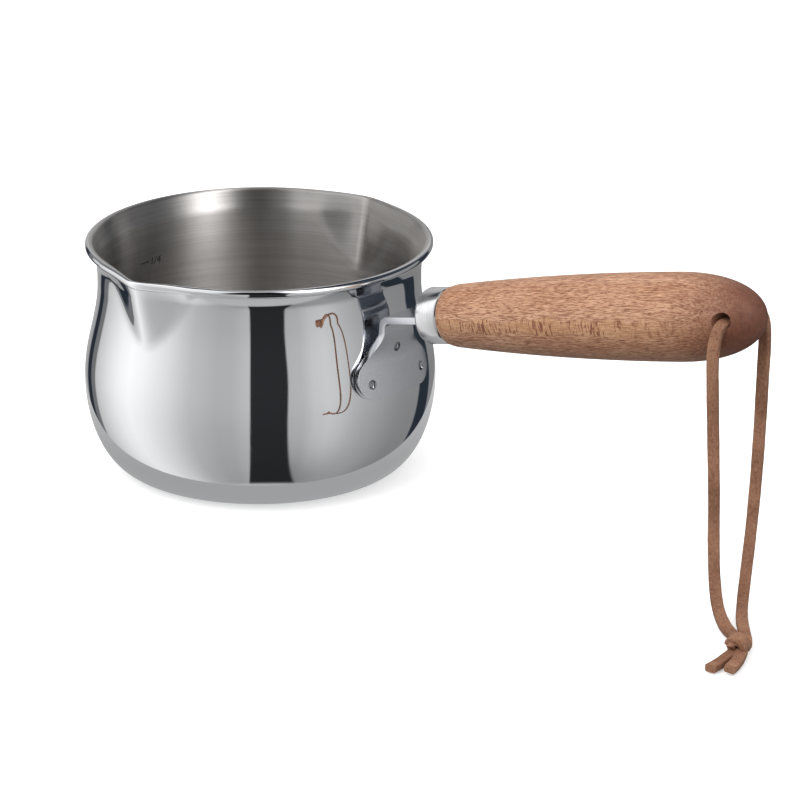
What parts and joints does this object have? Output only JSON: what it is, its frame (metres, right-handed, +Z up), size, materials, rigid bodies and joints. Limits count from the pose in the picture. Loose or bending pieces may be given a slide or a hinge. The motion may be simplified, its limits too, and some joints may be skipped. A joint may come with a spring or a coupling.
{
  "type": "small pouring pot with a wooden handle",
  "caption": "Round-bellied steel pouring pot with pinched lips on both sides, a turned wooden handle on a welded bracket, and a leather hanging lace.",
  "frame": {"origin": "middle of the pot's flat base, on the surface it stands on", "axes": "+Z up along the pot's axis, +X towards the end of the handle, +Y and -Y through the pouring lips"},
  "size_m": [0.2305, 0.0946, 0.0802],
  "materials": {
    "polished_steel": "mirror polished outside, fine brushed rings inside",
    "brushed_steel": "satin",
    "wood": "oiled, with short dark pores along the grain",
    "leather": "matte tan, with raw cut edges"
  },
  "bodies": {
    "pot": {"pot_body": "polished_steel", "handle_bracket": "brushed_steel", "spot_weld_1": "brushed_steel", "spot_weld_2": "brushed_steel", "spot_weld_3": "brushed_steel", "ferrule": "brushed_steel", "wooden_grip": "wood"},
    "lace": {"lace": "leather", "lace_knot": "leather", "lace_tail_1": "leather", "lace_tail_2": "leather"}
  },
  "joints": [
    {"name": "lace_swing", "type": "hinge", "parent": "pot", "child": "lace", "pos_m": [0.15277, 0, 0.07244], "axis": [0, -1, 0], "range_deg": [0, 100]}
  ]
}
